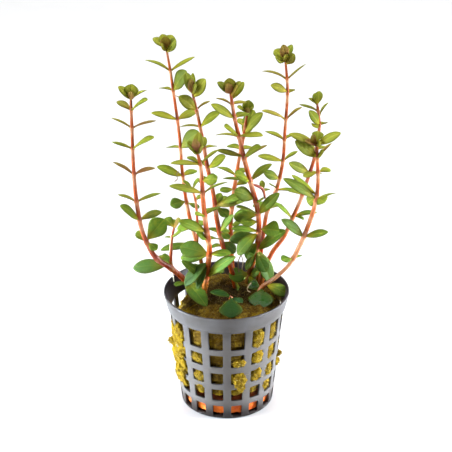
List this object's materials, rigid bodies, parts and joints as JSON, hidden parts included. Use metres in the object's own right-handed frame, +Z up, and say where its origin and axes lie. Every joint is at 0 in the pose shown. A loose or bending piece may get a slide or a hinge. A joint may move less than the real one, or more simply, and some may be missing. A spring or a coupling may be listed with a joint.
{
  "type": "potted aquarium stem plant",
  "caption": "Upright leafy stem plant with red stems and small oval leaves, rooted in fibrous wool inside a tapered slotted net pot.",
  "frame": {"origin": "centre of the flat underside of the pot, on the surface it stands on", "axes": "+Z up along the pot's axis, +X to the right and +Y away from the viewer in the picture"},
  "size_m": [0.0857, 0.05, 0.1499],
  "materials": {
    "pot_plastic": "satin bluish grey",
    "orange_clay": "matte orange",
    "rockwool": "wet matted fibres, dark brown to ochre",
    "foliage": "satin green leaves on pinkish red stems"
  },
  "bodies": {
    "root": {"net_pot": "pot_plastic", "orange_base_disc": "orange_clay", "rockwool_plug": "rockwool", "shoot_far_left": "foliage", "side_shoot_left": "foliage", "shoot_back_left": "foliage", "side_shoot_back": "foliage", "shoot_left_centre": "foliage", "shoot_centre": "foliage", "side_shoot_centre": "foliage", "shoot_front_left": "foliage", "shoot_middle_back": "foliage", "shoot_back_right": "foliage", "shoot_far_right_back": "foliage", "shoot_far_right": "foliage", "low_sprig_front": "foliage"}
  },
  "joints": []
}
